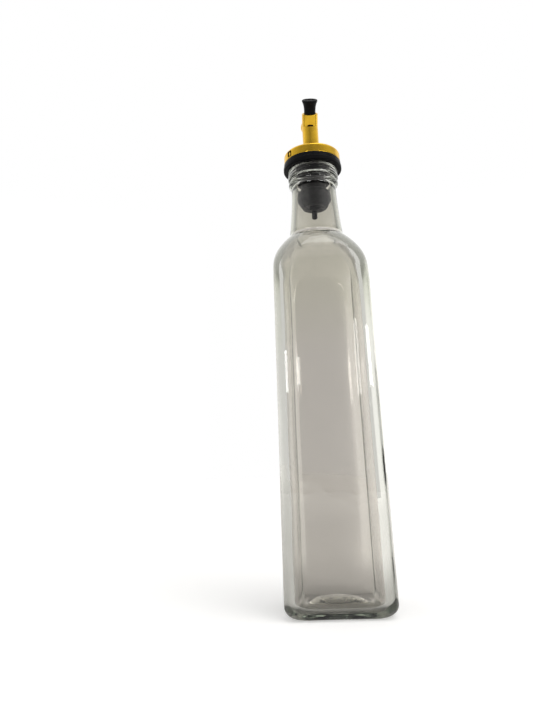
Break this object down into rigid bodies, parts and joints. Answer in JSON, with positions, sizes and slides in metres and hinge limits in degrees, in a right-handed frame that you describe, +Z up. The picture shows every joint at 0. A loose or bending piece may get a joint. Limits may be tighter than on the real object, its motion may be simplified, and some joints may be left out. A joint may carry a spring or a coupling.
{
  "type": "oil bottle with pourer",
  "caption": "Clear square glass oil bottle with a long neck, and a gold pourer with a bent spout, ball-topped breather and soft black plug.",
  "frame": {"origin": "centre of the bottle's foot, on the surface that it stands on", "axes": "+Z up along the bottle's axis, -Y the way the spout leans, +X to the right of the spout seen from the front"},
  "size_m": [0.0574, 0.0574, 0.3128],
  "materials": {
    "bottle_glass": "clear, moulded, smooth",
    "sleeve_rubber": "soft, slight sheen",
    "core_plastic": "black, moulded",
    "gold_plate": "gold plated, polished",
    "plug_rubber": "soft, matt"
  },
  "bodies": {
    "bottle": {"glass_bottle": "bottle_glass"},
    "stopper": {"stopper_sleeve": "sleeve_rubber"},
    "head": {"stopper_core": "core_plastic", "air_tube": "core_plastic", "collar": "gold_plate", "spout": "gold_plate", "breather": "gold_plate"},
    "plug": {"spout_plug": "plug_rubber"}
  },
  "joints": [
    {"name": "pourer_lift", "type": "slide", "parent": "bottle", "child": "stopper", "axis": [0, 0, 1], "range_m": [0, 0.045]},
    {"name": "pourer_turn", "type": "hinge", "parent": "stopper", "child": "head", "pos_m": [0, 0, 0.25], "axis": [0, 0, 1], "continuous": true},
    {"name": "plug_pull", "type": "slide", "parent": "head", "child": "plug", "axis": [0, -0.7071, 0.7071], "range_m": [0, 0.015]}
  ]
}
